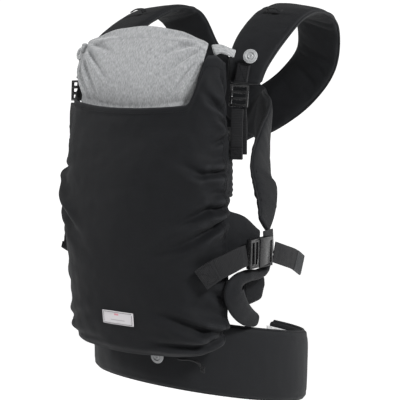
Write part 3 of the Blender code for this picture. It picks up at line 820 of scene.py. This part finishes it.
# ---------------------------------------------------------------- body panel
# Creases of the panel: (across, height z in metres) at the inner and the outer end, half width and
# depth. They run in to the gathered hem and to the hip.
PANEL_CREASES = (
    ((0.90, 0.424), (0.985, 0.392), 0.0030, 0.0036),
    ((0.70, 0.395), (1.000, 0.360), 0.0034, 0.0050),
    ((0.80, 0.368), (1.000, 0.348), 0.0030, 0.0046),
    ((0.78, 0.326), (1.000, 0.334), 0.0030, 0.0040),
    ((0.48, 0.300), (0.700, 0.285), 0.0045, 0.0024),
    ((0.66, 0.286), (1.000, 0.288), 0.0030, 0.0052),
    ((0.80, 0.262), (1.000, 0.258), 0.0028, 0.0026),
    ((0.48, 0.218), (0.750, 0.238), 0.0040, 0.0030),
    ((0.72, 0.237), (1.000, 0.239), 0.0030, 0.0052),
    ((0.28, 0.172), (0.700, 0.204), 0.0050, 0.0030),
    ((0.66, 0.202), (1.000, 0.224), 0.0032, 0.0055),
    ((0.60, 0.165), (0.930, 0.150), 0.0060, 0.0016),
    ((0.70, 0.130), (1.000, 0.110), 0.0040, 0.0028),
    ((0.30, 0.092), (0.700, 0.071), 0.0045, 0.0044),
    ((0.66, 0.073), (1.020, 0.063), 0.0036, 0.0065),
    ((0.22, 0.050), (0.660, 0.048), 0.0034, 0.0034),
    ((0.62, 0.048), (1.020, 0.063), 0.0034, 0.0052),
    ((0.40, 0.062), (0.800, 0.060), 0.0050, 0.0020),
)
FAR_NOTCH = (((-0.55, 0.205), (-0.95, 0.262), 0.0046, 0.0070),
             ((-0.40, 0.190), (-0.90, 0.232), 0.0050, 0.0040))
CREASE_SPREAD = 1.45               # every half width and every depth above is multiplied by these
CREASE_DEPTH = 1.7
CREASE_REACH = 6.0                 # no crease is felt beyond this many of its half widths
MIRRORED_DEPTH = 0.35              # the wearer's right half has the same creases, this much shallower
MIRRORED_DROP = 0.005


def laid_out(creases, wide, high, spread=1.0, deepen=1.0):
    """Creases with their ends as places on the flat cloth in metres."""
    return [(Vector((inner[0] * wide, inner[1] * high)), Vector((outer[0] * wide, outer[1] * high)),
             half * spread, depth * deepen) for inner, outer, half, depth in creases]


def crease_height(here, creases, before, after, ridge):
    """Height of creases at a place on the flat cloth: a sharp valley between two soft ridges.

    A crease fades in from before its start and out to after its end, as shares of its length. A ridge
    has a height as a share of the depth, a distance from the valley and a width, in half widths.
    """
    total = 0.0
    high, place, wide = ridge
    for start, end, half, depth in creases:
        run = end - start
        t = (here - start).dot(run) / run.length_squared
        x = (here - start - run * t).length / half
        if -before <= t <= 1 + after and x <= CREASE_REACH:
            fade = smoothstep(-before, 1 - before, t) * smoothstep(1 + after, 1.0, t)
            total += depth * fade * (high * math.exp(-((x - place) / wide) ** 2) - math.exp(-x * x))
    return total


NEAR_FOLDS = laid_out(PANEL_CREASES, PANEL_HALF, 1.0, CREASE_SPREAD, CREASE_DEPTH)
FAR_FOLDS = laid_out(FAR_NOTCH, PANEL_HALF, 1.0, CREASE_SPREAD, CREASE_DEPTH)


def panel_creases(across, z, folds):
    return crease_height(Vector((across * PANEL_HALF, z)), folds, 0.25, 0.3, (0.85, 2.1, 1.5))


def panel_relief(across, z):
    edge = (1.0 - abs(across)) * PANEL_HALF
    lift = panel_creases(across, z, NEAR_FOLDS)
    lift += panel_creases(-across, z + MIRRORED_DROP, NEAR_FOLDS) * MIRRORED_DEPTH
    lift += panel_creases(across, z, FAR_FOLDS)
    gathered = smoothstep(0.11, 0.15, z) * smoothstep(0.425, 0.40, z)
    drift = 2.2 * ripple((across * 0.05, 0.0, z), 5.0, 0.03)
    lift += 0.0008 * gathered * math.exp(-edge / 0.020) * math.sin(2 * math.pi * z / 0.0125 + drift)
    lift += 0.0034 * ripple((across * 0.12, 0.0, z * 1.5), 1.0, 0.055)
    lift += 0.0006 * ripple((across * PANEL_HALF, 0.0, z), 7.0, 0.014)
    lift += 0.0009 * smoothstep(0.0105, 0.0085, edge)
    return lift * (0.30 + 0.70 * smoothstep(0.0, 0.024, edge))


def panel_normal(across, height):
    step = 0.004
    du = panel_point(min(across + step, 1.0), height) - panel_point(max(across - step, -1.0), height)
    dv = panel_point(across, min(height + step, 1.0)) - panel_point(across, max(height - step, 0.0))
    return du.cross(dv).normalized()


def panel_cloth(across, height, above=0.0):
    base = panel_point(across, height)
    tuck = 0.0008 * smoothstep(0.011, 0.008, (1 - height) * 0.36)
    tuck -= 0.0050 * smoothstep(0.014, 0.0, height * 0.34) ** 1.5
    return base + panel_normal(across, height) * (panel_relief(across, base.z) + tuck + above)


def body_panel():
    width = 2 * PANEL_HALF
    panel = shell("panel_cloth", panel_cloth, 190, 190, PANEL_THICK * 0.7, (width, 0.345), "twill",
                  replaced=["main_panel"], crowd=0.3)

    spans = even(300, -0.985, 0.985)
    seams = [[panel_cloth(a, 1 - 0.007 / 0.36, 0.0002) for a in spans]]
    for side in (1, -1):
        for inset in (0.0075, 0.0125):
            seams.append([panel_cloth(side * (1 - inset / PANEL_HALF), h, 0.0003)
                          for h in even(260, 0.03, 0.97)])
    stitches("panel_topstitching", seams)

    line = [panel_cloth(a, 0.0, -0.0010) + Vector((0, 0, 0.0010)) for a in spans]
    skin("pouch_hem_binding", [tube_rings(line, 0.0013, up=Vector((0, -1, 0)))], "binding")

    def label_cloth(across, height, above=0.0012):
        return panel_cloth(-0.03 + 0.135 * across, 0.122 + 0.054 * height, above)

    label = shell("label_patch", label_cloth, 28, 16, 0.0008, (0.0465, 0.0185), "label",
                  replaced=["woven_label"])
    corners = ((-0.92, 0.07), (0.92, 0.07), (0.92, 0.93), (-0.92, 0.93), (-0.92, 0.07))
    border = [[label_cloth(a + (c - a) * t, b + (d - b) * t, 0.0014) for t in even(30)]
              for (a, b), (c, d) in zip(corners, corners[1:])]
    stitches("label_stitching", border, pitch=0.0024, thread=0.0003)


# ---------------------------------------------------------------- hood
HOOD_CREASES = (
    ((0.30, 0.62), (0.98, 0.96), 0.0042, 0.0030),
    ((0.40, 0.30), (0.98, 0.90), 0.0042, 0.0034),
    ((0.62, 0.05), (0.99, 0.84), 0.0038, 0.0032),
    ((0.82, 0.02), (1.00, 0.76), 0.0034, 0.0026),
    ((0.10, 0.88), (0.90, 0.985), 0.0040, 0.0018),
)
HOOD_HALF = 0.105
HOOD_HIGH = 0.118
HOOD_TUCK = 0.11                   # share of its height that runs down behind the panel


HOOD_FOLDS = laid_out(HOOD_CREASES, HOOD_HALF, HOOD_HIGH)


def hood_relief(across, height):
    here = Vector((abs(across) * HOOD_HALF, height * HOOD_HIGH))
    drift = 2.0 * ripple((across, 0, 0), 2.0, 0.3)
    total = crease_height(here, HOOD_FOLDS, 0.2, 0.2, (0.7, 1.9, 1.2))
    total += 0.0016 * ripple((across * 0.10, 0.0, height * 0.06), 11.0, 0.030)
    total += 0.0004 * smoothstep(0.30, 0.0, height) * math.sin(across * 46.0 + drift)
    total += 0.0011 * smoothstep(0.86, 0.89, height)
    return total


def hood_cloth(across, height, above=0.0):
    step = 0.01
    du = hood_point(min(across + step, 1.0), height) - hood_point(max(across - step, -1.0), height)
    dv = hood_point(across, min(height + step, 1.0)) - hood_point(across, height - step)
    return hood_point(across, height) + du.cross(dv).normalized() * (hood_relief(across, height) + above)


TIE_STATIONS = [((0.1090, -0.1360, 0.4510), (0.20, -0.90, 0.30), 0.017, 0.008),
                ((0.1160, -0.1290, 0.4530), (0.25, -0.90, 0.30), 0.013, 0.007),
                ((0.1230, -0.1210, 0.4500), (0.30, -0.90, 0.30), 0.011, 0.005),
                ((0.1300, -0.1130, 0.4460), (0.30, -0.90, 0.30), 0.011, 0.003)]


def hood():
    def tucked(across, height):
        return hood_cloth(across, height * (1 + HOOD_TUCK) - HOOD_TUCK)

    cloth = shell("hood_cloth", tucked, 110, 78, 0.0022, (2 * HOOD_HALF, HOOD_HIGH * (1 + HOOD_TUCK)),
                  "jersey", body=None, replaced=["hood"])
    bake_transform(cloth)
    rim = [hood_cloth(a, 0.865, 0.0001) for a in even(160, -0.96, 0.96)]
    stitches("hood_rim_stitching", [rim], "hood", thread=0.0003, finish="jersey")
    for side, hand in SIDES:
        route = Route(TIE_STATIONS, side)

        def pleats(along, wide, face):
            return 0.0011 * math.cos(wide * 9.0) * smoothstep(0.030, 0.012, along) * abs(face)

        rings = band_rings(route, 26, outline(32, 0.8), end_round=0.002, relief=pleats)
        tie = skin("hood_gather_" + hand, [rings], "jersey", "hood", ["hood_tie_" + hand])


# ---------------------------------------------------------------- hems, wings, rims and hip pads
BAND_PRESSURE = 1.5
BAND_CAP = 0.003


def padded_band(name, replaced, stations, side, steps, section, end_round, wrinkle, size, seed):
    """Stuffed band with small wrinkles of the given height and size, puffed by cloth simulation."""
    def relief(along, wide, face):
        return wrinkle * ripple((along, wide * 0.010, face * 0.006), seed, size)

    rings = band_rings(Route(stations, side), steps, section, end_round=end_round, relief=relief)
    thing = skin(name, [rings], "padding", replaced=[replaced])
    settle(thing, 12, BAND_PRESSURE, BAND_CAP)


def panel_edges(side, hand):
    hem = []
    for height in (0.60, 0.66, 0.72, 0.78, 0.84):
        edge = panel_point(1.0, height)
        hem.append((edge + Vector((-0.0050, 0.0115, 0.0)), (1.0, 0.10, 0.0), 0.015, 0.006))

    def ruched(along, wide, face):
        beat = 2 * math.pi * along / 0.0090 + 5.0 * ripple((along, 0, 0), 4.0, 0.02)
        return 0.0006 * math.sin(beat) + 0.0008 * ripple((along, wide * 0.006, 0.0), 6.0, 0.008)

    rings = band_rings(Route(hem, side), 110, outline(20, 0.85), end_round=0.003, relief=ruched)
    hem_piece = skin("hem_casing_" + hand, [rings], "twill", replaced=["side_hem_" + hand])

    wing = [((0.1285, -0.1420, 0.1945), (0.94, -0.34, 0.0), 0.084, 0.003),
            ((0.1328, -0.1330, 0.1945), (0.94, -0.34, 0.0), 0.082, 0.004),
            ((0.1380, -0.1225, 0.1945), (0.95, -0.30, 0.0), 0.070, 0.005),
            ((0.1430, -0.1110, 0.1920), (0.97, -0.25, 0.0), 0.060, 0.006),
            ((0.1460, -0.0960, 0.1880), (0.99, -0.10, 0.0), 0.047, 0.007),
            ((0.1465, -0.0780, 0.1830), (1.00, 0.00, 0.0), 0.036, 0.006)]
    padded_band("wing_pad_" + hand, "side_wing_" + hand, wing, side, 34, outline(36, 0.5), 0.003,
                wrinkle=0.0012, size=0.014, seed=3.0)

    belt_top = BELT_HEIGHT / 2 + BELT_RISE * 0.069 - BELT_LEAN * 0.147 * side
    back = FAR_RIM_BACK if side < 0 else 0.0
    rim = [((0.1395, -0.0670, belt_top + 0.0125), (0.85, -0.50, 0.10), 0.018, 0.013),
           ((0.1400, -0.0940, 0.0810), (0.88, -0.46, 0.10), 0.028, 0.015),
           ((0.1440, -0.1220 + back, 0.0990), (0.92, -0.38, 0.00), 0.033, 0.015),
           ((0.1460, -0.1390 + back, 0.1190), (0.94, -0.34, 0.00), 0.034, 0.015),
           ((0.1470, -0.1400 + back, 0.1320), (0.95, -0.30, 0.00), 0.028, 0.014),
           ((0.1480, -0.1270 + back, 0.1400), (0.97, -0.22, 0.00), 0.020, 0.014),
           ((0.1490, -0.1060 + back * 0.7, 0.1420), (0.99, -0.10, 0.00), 0.017, 0.014),
           ((0.1490, -0.0840 + back * 0.3, 0.1400), (1.00, -0.10, 0.00), 0.015, 0.013),
           ((0.1485, -0.0620, 0.1430), (1.00, 0.00, 0.00), 0.014, 0.012),
           ((0.1465, -0.0500, 0.1530), (1.00, 0.00, 0.00), 0.012, 0.010),
           ((0.1455, -0.0450, 0.1670), (1.00, 0.00, 0.00), 0.010, 0.009)]
    padded_band("leg_rim_roll_" + hand, "leg_rim_" + hand, rim, side, 90, outline(24, 0.9), 0.006,
                wrinkle=0.0008, size=0.010, seed=6.0)

    pad = [((0.1280, -0.0710, 0.1320), (0.95, -0.30, 0.0), 0.058, 0.009),
           ((0.1270, -0.0710, 0.1140), (0.95, -0.30, 0.0), 0.060, 0.012),
           ((0.1260, -0.0660, 0.0920), (0.95, -0.30, 0.0), 0.046, 0.010)]
    padded_band("hip_cushion_" + hand, "hip_pad_" + hand, pad, side, 30, outline(40, 0.6), 0.005,
                wrinkle=0.0005, size=0.014, seed=9.0)
    pad_route = Route(pad, side)
    lines = [[pad_route.face(t, wide, 0.0004) for t in even(30, 0.04, 0.96)] for wide in (0.30, 0.44)]
    stitches("hip_cushion_stitching_" + hand, lines)


# ---------------------------------------------------------------- shoulder straps
def strap_stations(inset):
    """The strap's path; inset draws it in towards the wearer where it runs inside the other one."""
    w = STRAP_WIDTH
    t = STRAP_THICK
    return [((0.1370, -0.0980, 0.4050), (0.30, -0.95, 0.10), w * 0.55, t * 0.8),
            ((0.1330, -0.0800, 0.4350), (0.25, -0.90, 0.35), w * 0.75, t),
            ((0.1270, -0.0340, 0.4690), (0.15, -0.60, 0.78), w * 0.95, t),
            ((0.1210, 0.0290, 0.4990), (0.10, -0.20, 0.97), w, t),
            ((0.1150, 0.0940 - inset * 0.8, 0.5080), (0.10, 0.15, 0.98), w, t),
            ((0.1080, 0.1610 - inset * 2.0, 0.4920), (0.15, 0.70, 0.70), w, t),
            ((0.0880, 0.2000 - inset * 3.0, 0.4350), (0.15, 0.95, 0.25), w, t),
            ((0.0480, 0.2060 - inset * 2.6, 0.3870), (0.10, 0.99, 0.10), w, t),
            ((0.0000, 0.1970 - inset * 1.8, 0.3520), (0.05, 1.00, 0.00), w, t),
            ((-0.0400, 0.1930 - inset * 3.7, 0.3400), (-0.35, 0.94, 0.00), w, t),
            ((-0.0720, 0.1560 - inset * 4.4, 0.3170), (-0.75, 0.66, 0.00), w, t),
            ((-0.0940, 0.0640 - inset * 1.9, 0.3000), (-0.92, 0.38, 0.10), w * 0.98, t),
            ((-0.1110, -0.0020 - inset * 0.2, 0.2770), (-0.97, 0.05, 0.15), w * 0.90, t * 0.9),
            ((-0.1250, -0.0210, 0.2520), (-0.98, -0.08, 0.15), w * 0.76, t * 0.8),
            ((-0.1360, -0.0380, 0.2270), (-0.98, -0.08, 0.10), w * 0.58, t * 0.7),
            ((-0.1455, -0.0600, 0.2050), (-1.00, 0.00, 0.00), w * 0.42, t * 0.5)]


def shoulder_strap(side, hand, inset):
    route = Route(strap_stations(inset), side)
    total = route.length()

    def relief(along, wide, face):
        bend = smoothstep(0.12, 0.22, along) * smoothstep(0.42, 0.30, along)
        back = smoothstep(0.40, 0.50, along) * smoothstep(total, total - 0.06, along)
        cross = ripple((along, wide * 0.006, face * 0.01), 13.0 + side, 0.014)
        broad = ripple((along, wide * 0.020, face * 0.01), 17.0 + side, 0.040)
        inner = 1.0 if face < 0 else 0.45
        return (0.0022 * bend * inner + 0.0016 * back + 0.0005) * cross + 0.0010 * broad

    rings = band_rings(route, 330, outline(36, 0.5), end_round=0.005, relief=relief)
    strap = skin("strap_cover_" + hand, [rings], "padding", replaced=["shoulder_strap_" + hand])
    settle(strap, 10, 1.2, 0.0025)

    spots = even(260, 0.01, 0.99)
    pipes = [[route.point(t, wide, 0.0) for t in spots] for wide in (1.0, -1.0)]
    skin("strap_piping_" + hand, [tube_rings(pipe, 0.0019) for pipe in pipes], "binding")
    seams = [[route.face(t, wide, 0.0006) for t in spots] for wide in (0.80, -0.80)]
    stitches("strap_topstitching_" + hand, seams)


# ---------------------------------------------------------------- webbing
RIB_PITCH = 0.0022


def ribbon(name, stations, width, side, finish="webbing", body="carrier", replaced=(), lift=0.0,
           span=(0.0, 1.0), thick=WEBBING_THICK):
    """Woven strap with raised cross ribs and rounded selvedges."""
    route = Route([(centre, normal, width, thick) for centre, normal in stations], side, lift)
    steps = max(12, int(route.length(*span) / (RIB_PITCH / 4)))

    def relief(along, wide, face):
        return 0.00016 * math.sin(2 * math.pi * along / RIB_PITCH) * abs(face) * (1 - wide ** 6)

    rings = band_rings(route, steps, outline(16, 0.4), span, 0.0008, relief)
    return skin(name, [rings], finish, body, replaced), route


def box_stitch(route, first, last, above=0.0004):
    """Square of stitching with a cross in it, on a webbing's outer face."""
    edge = 0.80                    # of the webbing's half width
    corners = [(first, -edge), (last, -edge), (last, edge), (first, edge), (first, -edge), (last, edge)]
    runs = list(zip(corners, corners[1:])) + [((first, edge), (last, -edge))]
    return [[route.point(a[0] + (b[0] - a[0]) * t, a[1] + (b[1] - a[1]) * t, WEBBING_THICK / 2 + above)
             for t in even(16)] for a, b in runs]


def facing(normal, *places):
    """Stations of a webbing that faces one way."""
    return [(place, normal) for place in places]


LOCK_FACE = (0.30, -0.95, 0.0)


def chest_adjuster(side, hand):
    body = "chest_lock_" + hand
    front = facing(LOCK_FACE, (0.1400, -0.1225, 0.3725), (0.1405, -0.1250, 0.3550),
                   (0.1405, -0.1250, 0.3300), (0.1400, -0.1240, 0.3040))
    width = NARROW_WEBBING * 0.95
    ribbon("adjuster_strap_" + hand, front, width, side, body=body, replaced=["adjuster_webbing_" + hand])
    _, folded = ribbon("adjuster_turned_end_" + hand, front, width, side, body=body,
                       replaced=["adjuster_fold_" + hand], lift=FOLD_LIFT, span=(0.80, 1.0))
    stitches("adjuster_stitching_" + hand, box_stitch(folded, 0.83, 0.98), body, pitch=0.0024)
    back = facing(LOCK_FACE, (0.1400, -0.1150, 0.3725), (0.1415, -0.1155, 0.3550),
                  (0.1415, -0.1155, 0.3350), (0.1415, -0.1155, 0.3100))
    ribbon("panel_strap_" + hand, back, width, side, replaced=["panel_webbing_" + hand])
    tab = [((0.1355, -0.0975, 0.4330), (0.25, -0.92, 0.30)),
           ((0.1362, -0.1020, 0.4250), (0.28, -0.94, 0.25)),
           ((0.1375, -0.1075, 0.4150), (0.30, -0.95, 0.20)),
           ((0.1380, -0.1110, 0.4080), (0.30, -0.95, 0.20))]
    _, tab_route = ribbon("lock_tab_" + hand, tab, NARROW_WEBBING, side, replaced=["stitched_tab_" + hand],
                          thick=0.0026)
    stitches("lock_tab_stitching_" + hand, box_stitch(tab_route, 0.08, 0.92, above=0.0008), pitch=0.0024)
    loop = facing((0.10, -0.25, 0.97), (0.1080, 0.0100, 0.5045), (0.1110, 0.0100, 0.5090),
                  (0.1230, 0.0100, 0.5090), (0.1320, 0.0100, 0.5050))
    ribbon("strap_ring_" + hand, loop, 0.008, side, replaced=["strap_loop_" + hand])


RIGHT_BACK = Vector((0.0, 0.0260, 0.0))    # the wearer's right strap tail starts this much further back
LONG_END = [((0.1600, -0.1295, 0.1745), (0.97, -0.25, 0.0)),
            ((0.1560, -0.1435, 0.1715), (0.88, -0.48, 0.0)),
            ((0.1470, -0.1570, 0.1650), (0.72, -0.70, 0.0)),
            ((0.1330, -0.1710, 0.1560), (0.62, -0.78, 0.0)),
            ((0.1190, -0.1810, 0.1440), (0.50, -0.86, 0.0))]
SHORT_END = [((0.1605, -0.1085, 0.1745), (1.00, -0.05, 0.0)),
             ((0.1590, -0.1140, 0.1700), (1.00, -0.10, 0.0)),
             ((0.1580, -0.1180, 0.1620), (1.00, -0.20, 0.0)),
             ((0.1570, -0.1225, 0.1520), (1.00, -0.20, 0.0))]


def side_straps(side, hand, shift, strip):
    body = "side_plug_" + hand
    ribbon("side_strap_" + hand, strip, SIDE_WEBBING, side, body=body, replaced=["side_webbing_" + hand])
    _, folded = ribbon("side_strap_turned_end_" + hand, strip, SIDE_WEBBING, side, body=body,
                       replaced=["side_webbing_fold_" + hand], lift=FOLD_LIFT, span=(0.70, 1.0),
                       thick=WEBBING_THICK * 1.4)
    stitches("side_strap_stitching_" + hand, box_stitch(folded, 0.74, 0.97), body)
    link = facing((1.0, 0.05, 0.0), (0.1525, -0.0580, 0.1640), (0.1525, -0.0580, 0.1800),
                  (0.1515, -0.0580, 0.2000))
    ribbon("strap_link_" + hand, link, SIDE_WEBBING, side, replaced=["strap_end_webbing_" + hand])
    tail = [(Vector(place) + shift, (1.0, turn, 0.0))
            for place, turn in (((0.1630, -0.0610, 0.1700), 0.05), ((0.1660, -0.0380, 0.1620), 0.00),
                                ((0.1660, -0.0080, 0.1520), -0.05), ((0.1650, 0.0180, 0.1390), 0.05))]
    ribbon("strap_tail_strap_" + hand, tail, SIDE_WEBBING, side, replaced=["strap_tail_" + hand])
    ribbon("strap_tail_turned_end_" + hand, tail, SIDE_WEBBING * 1.01, side, "webbing_end",
           span=(0.72, 1.0), thick=WEBBING_THICK * 2.0)


# ---------------------------------------------------------------- waist straps
def waist_straps():
    socket_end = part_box("waist_buckle_socket")[1].x - 0.0004
    plug_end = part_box("waist_buckle_plug")[0].x
    back = ring_point(math.pi, 0.0170, 0.0)
    out = BELT_THICK / 2 + 0.0022
    for side, hand, end, body in ((1, "left", socket_end, "carrier"), (-1, "right", plug_end, None)):
        angles = [math.radians(side * angle) for angle in (128, 136, 143, 150)]
        line = [(ring_point(angle, out, 0.0), ring_normal(angle)) for angle in angles]
        line.append((Vector((end + side * 0.0180, back.y - 0.0040, back.z)), (side * 0.20, 1.0, 0.0)))
        line.append((Vector((end + side * 0.0040, back.y - 0.0010, back.z)), (side * 0.05, 1.0, 0.0)))
        strap, _ = ribbon("waist_strap_" + hand, line, WAIST_WEBBING, 1, body=body,
                          replaced=["waist_webbing_" + hand])
    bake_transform(strap)


# ---------------------------------------------------------------- hardware
# Radius and height of a button's outline, from its centre dimple over its rings to its shank.
BUTTON_PROFILE = ((0.0016, 0.0026), (0.0024, 0.0036), (0.0034, 0.0037), (0.0040, 0.0028), (0.0046, 0.0024),
                  (0.0054, 0.0026), (0.0060, 0.0037), (0.0068, 0.0040), (0.0075, 0.0030), (0.0082, 0.0029),
                  (0.0090, 0.0034), (0.0098, 0.0026), (0.0100, 0.0016), (0.0094, 0.0009), (0.0034, 0.0007),
                  (0.0030, 0.0002), (0.0030, -0.0010))
BUTTON_SIDES = 48
BELT_BUTTON = (math.radians(8.0), BELT_THICK / 2 + 0.0014, -0.009)
MERGE = 0.000002                   # corners closer than this are one corner
FINE_ROUND = 0.0005                # rounding of the prongs and ladder locks
ROUND = 0.0011                     # rounding of the buckle bodies


def turned_button(name, node, centre, normal):
    """Round snap cap with a centre dimple and raised rings."""
    matrix = frame_at(centre, Vector((0, 0, 1)).cross(Vector(normal)), normal)
    rings = []
    for radius, height in BUTTON_PROFILE:
        rings.append([matrix @ Vector((radius * math.cos(turn), radius * math.sin(turn), height))
                      for turn in (2 * math.pi * k / BUTTON_SIDES for k in range(BUTTON_SIDES))])
    skin(name, [rings], "button", replaced=[node])


def owner(node):
    """Body that a buckle or ladder lock piece moves with."""
    if node.startswith("ladder_lock"):
        return node.replace("ladder_lock", "chest_lock")
    if node.endswith("socket"):
        return "carrier"
    place, _, part = node.partition("_buckle_")
    if place == "waist":
        return "waist_" + part
    hand, _, part = part.partition("_")
    return "side_" + part + "_" + hand


def moulded(node, thing):
    """Copy of a plastic piece of the frame with rounded edges."""
    mesh = thing.data.copy()
    mesh.transform(thing.matrix_world)
    bm = bmesh.new()
    bm.from_mesh(mesh)
    bmesh.ops.remove_doubles(bm, verts=bm.verts, dist=MERGE)
    bmesh.ops.dissolve_limit(bm, angle_limit=math.radians(1.0), verts=bm.verts, edges=bm.edges)
    bm.to_mesh(mesh)
    bm.free()
    piece = bpy.data.objects.new(node + "_moulded", mesh)
    bpy.context.scene.collection.objects.link(piece)
    rounding = piece.modifiers.new("edges", "BEVEL")
    rounding.width = FINE_ROUND if "prong" in node or "lock" in node else ROUND
    rounding.segments = 3
    rounding.limit_method = "ANGLE"
    rounding.harden_normals = True
    shaped = bpy.data.meshes.new_from_object(piece.evaluated_get(bpy.context.evaluated_depsgraph_get()))
    piece.modifiers.clear()
    piece.data = shaped
    shaped.shade_smooth()
    shaped.set_sharp_from_angle(angle=math.radians(35.0))
    shaped.materials.clear()
    shaped.materials.append(FINISHES["plastic"])
    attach(piece, owner(node))
    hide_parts(node)


def hardware():
    for side, hand in SIDES:
        turned_button("hood_snap_" + hand, "hood_button_" + hand, mirrored((0.1450, -0.0970, 0.4425), side),
                      mirrored((0.3, -0.92, 0.25), side))
    turned_button("belt_snap", "belt_button", ring_point(*BELT_BUTTON), (0.1, -1.0, 0.0))
    for name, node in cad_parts.items():
        if "buckle" in name or "ladder_lock" in name:
            moulded(name, node)


# ---------------------------------------------------------------- build
place_camera()
drawcord()
light_scene()
plain_floor()
waist_belt()
body_panel()
hood()
for side, hand, inset, shift, strip in ((1, "left", 0.0, Vector((0, 0, 0)), LONG_END),
                                        (-1, "right", 0.020, RIGHT_BACK, SHORT_END)):
    panel_edges(side, hand)
    shoulder_strap(side, hand, inset)
    chest_adjuster(side, hand)
    side_straps(side, hand, shift, strip)
waist_straps()
hardware()
